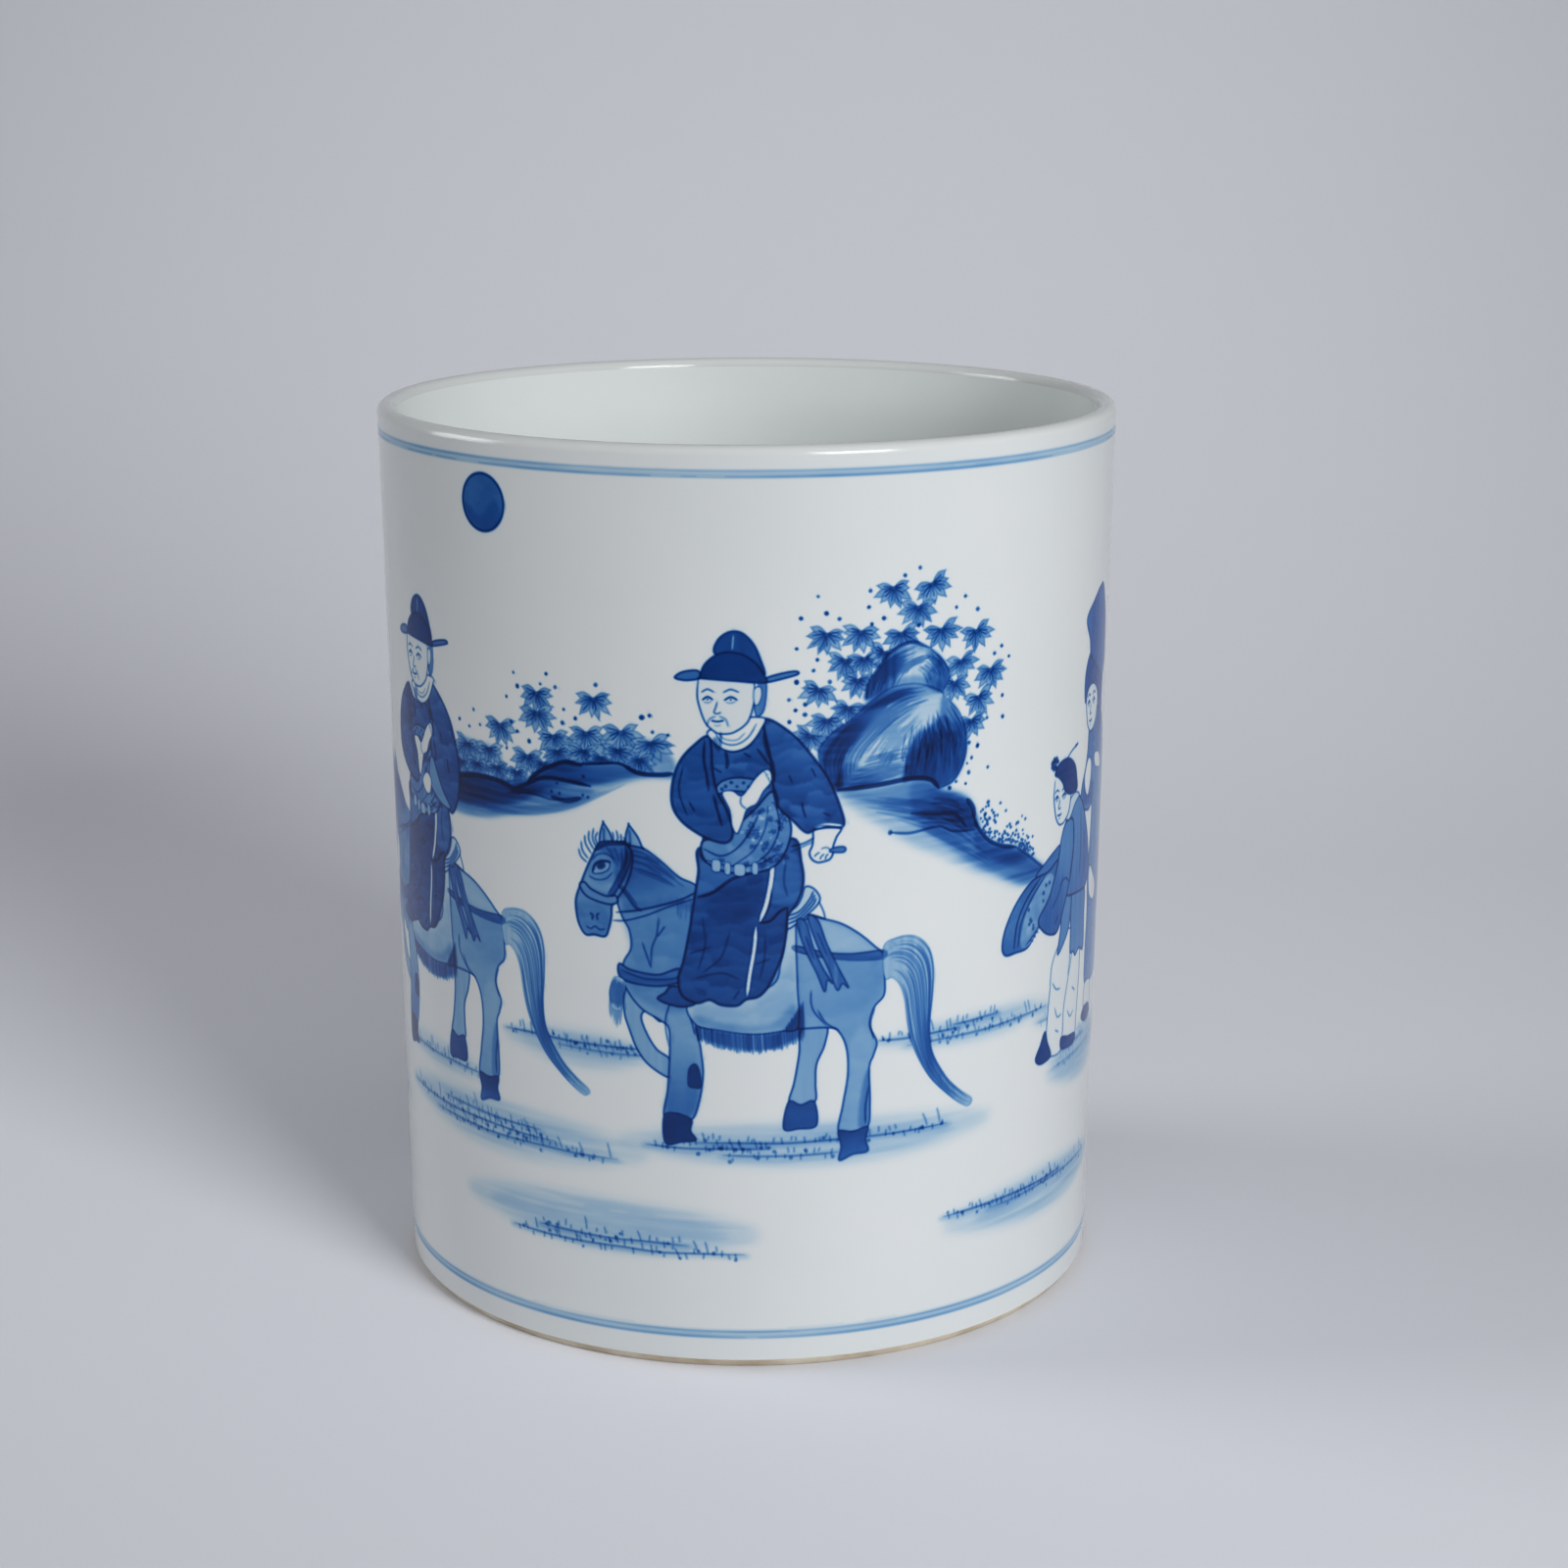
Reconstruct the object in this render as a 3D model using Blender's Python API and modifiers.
"""Cylindrical porcelain brush pot, built as it is made.

A turned wall and a floor slab stand on a turned foot ring, and three coats of
clear glaze cover them: one outside and over the lip, one inside, and one in
the recess under the floor.  Metres, +Z up, standing on Z = 0 about the Z axis.
"""
import math

import bpy

MM = 0.001

# Overall sizes, over the glaze
POT_HEIGHT = 208.0 * MM
RIM_RADIUS = 86.0 * MM
BASE_RADIUS = 83.1 * MM

# Wall and floor, over the glaze
LIP_THICKNESS = 4.2 * MM
WALL_AT_FLOOR = 6.4 * MM
FLOOR_HEIGHT = 15.0 * MM
FLOOR_FILLET = 5.0 * MM

# Foot
FOOT_RING_HEIGHT = 4.0 * MM
FOOT_RING_WIDTH = 9.0 * MM
FOOT_OUTER_CHAMFER = 1.2 * MM
FOOT_INNER_CHAMFER = 0.8 * MM
FOOT_BAND = 2.5 * MM

# Glaze
GLAZE_THICKNESS = 0.4 * MM
LIP_GLAZE_END = math.radians(160.0)

# Clearance between neighbouring solids, and how far a coat lies over the body
GAP = 0.3 * MM
COAT = GLAZE_THICKNESS + GAP

# Facets
TURN_STEPS = 96
ARC_STEPS = 8
FILLET_TIP = math.radians(-35.0)


def outer_radius(z):
    """Radius of the glazed outside at a height, which opens slightly upwards."""
    return BASE_RADIUS + (RIM_RADIUS - BASE_RADIUS) * z / POT_HEIGHT


def inner_radius(z):
    """Radius of the glazed inside at a height, from the floor to the lip."""
    at_floor = outer_radius(FLOOR_HEIGHT) - WALL_AT_FLOOR
    at_lip = outer_radius(LIP_CENTRE_Z) - LIP_THICKNESS
    share = (z - FLOOR_HEIGHT) / (LIP_CENTRE_Z - FLOOR_HEIGHT)
    return at_floor + (at_lip - at_floor) * share


LIP_CENTRE_Z = POT_HEIGHT - LIP_THICKNESS / 2.0
LIP_CENTRE_R = outer_radius(LIP_CENTRE_Z) - LIP_THICKNESS / 2.0
FILLET_CENTRE_Z = FLOOR_HEIGHT + FLOOR_FILLET
FILLET_CENTRE_R = inner_radius(FILLET_CENTRE_Z) - FLOOR_FILLET
SHOULDER_Z = FOOT_RING_HEIGHT + GAP
RECESS_RADIUS = outer_radius(0.0) - FOOT_RING_WIDTH


def arc(centre_r, centre_z, radius, start, end):
    """Points of an arc in the profile plane, from one angle to another."""
    points = []
    for i in range(ARC_STEPS + 1):
        angle = start + (end - start) * i / ARC_STEPS
        points.append((centre_r + radius * math.cos(angle),
                       centre_z + radius * math.sin(angle)))
    return points


def lip_arc(inset, start, end):
    """An arc over the rounded lip, this far under its glazed surface."""
    return arc(LIP_CENTRE_R, LIP_CENTRE_Z, LIP_THICKNESS / 2.0 - inset, start, end)


def floor_arc(inset, start, end):
    """An arc round the inside corner at the floor, this far under the glaze."""
    return arc(FILLET_CENTRE_R, FILLET_CENTRE_Z, FLOOR_FILLET + inset, start, end)


def material(name, colour, roughness):
    """A Principled material for one piece."""
    mat = bpy.data.materials.new(name)
    mat.use_nodes = True
    shader = mat.node_tree.nodes["Principled BSDF"]
    shader.inputs["Base Color"].default_value = (*colour, 1.0)
    shader.inputs["Roughness"].default_value = roughness
    shader.inputs["Metallic"].default_value = 0.0
    return mat


def turned(name, profile, closed, colour, roughness):
    """Turn a profile of (radius, height) points about Z with a Screw modifier."""
    edges = [(i, i + 1) for i in range(len(profile) - 1)]
    if closed:
        edges.append((len(profile) - 1, 0))
    mesh = bpy.data.meshes.new(name)
    mesh.from_pydata([(r, 0.0, z) for r, z in profile], edges, [])
    obj = bpy.data.objects.new(name, mesh)
    parts.objects.link(obj)
    screw = obj.modifiers.new("Turn", 'SCREW')
    screw.steps = TURN_STEPS
    screw.render_steps = TURN_STEPS
    screw.use_merge_vertices = True
    screw.merge_threshold = 0.00001
    screw.use_smooth_shade = True
    mesh.materials.append(material(name, colour, roughness))
    return obj


def body_wall():
    """The thrown cylinder of porcelain body, with its rounded lip."""
    profile = lip_arc(COAT, math.pi, 0.0)
    profile.append((outer_radius(SHOULDER_Z) - COAT, SHOULDER_Z))
    profile.append((inner_radius(SHOULDER_Z) + COAT, SHOULDER_Z))
    turned("body_wall", profile, True, (0.80, 0.78, 0.73), 0.6)


def floor_slab():
    """The disc luted inside the wall's lower end, with its corner smoothed up."""
    corner = floor_arc(COAT, -math.pi / 2.0, FILLET_TIP)
    tip_z = corner[-1][1]
    profile = [(0.0, FLOOR_HEIGHT - COAT)] + corner
    profile.append((inner_radius(tip_z) + COAT - GAP, tip_z))
    profile.append((inner_radius(SHOULDER_Z) + COAT - GAP, SHOULDER_Z))
    profile.append((0.0, SHOULDER_Z))
    turned("floor_slab", profile, False, (0.78, 0.75, 0.69), 0.65)


def foot_ring():
    """The turned ring that the pot stands on, pared at both lower edges."""
    pared = outer_radius(FOOT_OUTER_CHAMFER) - COAT
    inner = RECESS_RADIUS
    turned("foot_ring", [
        (outer_radius(FOOT_RING_HEIGHT) - COAT, FOOT_RING_HEIGHT),
        (pared, FOOT_OUTER_CHAMFER),
        (pared - FOOT_OUTER_CHAMFER, 0.0),
        (inner + FOOT_INNER_CHAMFER, 0.0),
        (inner, FOOT_INNER_CHAMFER),
        (inner, FOOT_RING_HEIGHT),
    ], True, (0.66, 0.56, 0.44), 0.8)


def outer_glaze():
    """The coat outside, from the foot band up and over the lip."""
    over = lip_arc(0.0, LIP_GLAZE_END, 0.0)
    under = lip_arc(GLAZE_THICKNESS, 0.0, LIP_GLAZE_END)
    foot = outer_radius(FOOT_BAND)
    profile = over + [(foot, FOOT_BAND), (foot - GLAZE_THICKNESS, FOOT_BAND)] + under
    turned("outer_glaze", profile, True, (0.77, 0.80, 0.81), 0.12)


def inner_glaze():
    """The coat inside, from under the lip down the wall and over the floor."""
    lip_end = lip_arc(0.0, LIP_GLAZE_END, LIP_GLAZE_END)[0]
    top_z = lip_end[1] - GAP - GLAZE_THICKNESS
    top_r = inner_radius(top_z)
    profile = [(0.0, FLOOR_HEIGHT)] + floor_arc(0.0, -math.pi / 2.0, 0.0)
    profile.append((top_r, top_z))
    profile.append((top_r + GLAZE_THICKNESS, top_z))
    profile += floor_arc(GLAZE_THICKNESS, 0.0, -math.pi / 2.0)
    profile.append((0.0, FLOOR_HEIGHT - GLAZE_THICKNESS))
    turned("inner_glaze", profile, False, (0.70, 0.73, 0.72), 0.15)


def base_glaze():
    """The coat in the recess under the floor, inside the foot ring."""
    radius = RECESS_RADIUS - GAP
    top = SHOULDER_Z - GAP
    turned("base_glaze", [
        (0.0, top),
        (radius, top),
        (radius, top - GLAZE_THICKNESS),
        (0.0, top - GLAZE_THICKNESS),
    ], False, (0.72, 0.75, 0.75), 0.15)


for old in list(bpy.data.objects):
    bpy.data.objects.remove(old, do_unlink=True)

parts = bpy.data.collections.new("brush_pot")
bpy.context.scene.collection.children.link(parts)

body_wall()
floor_slab()
foot_ring()
outer_glaze()
inner_glaze()
base_glaze()
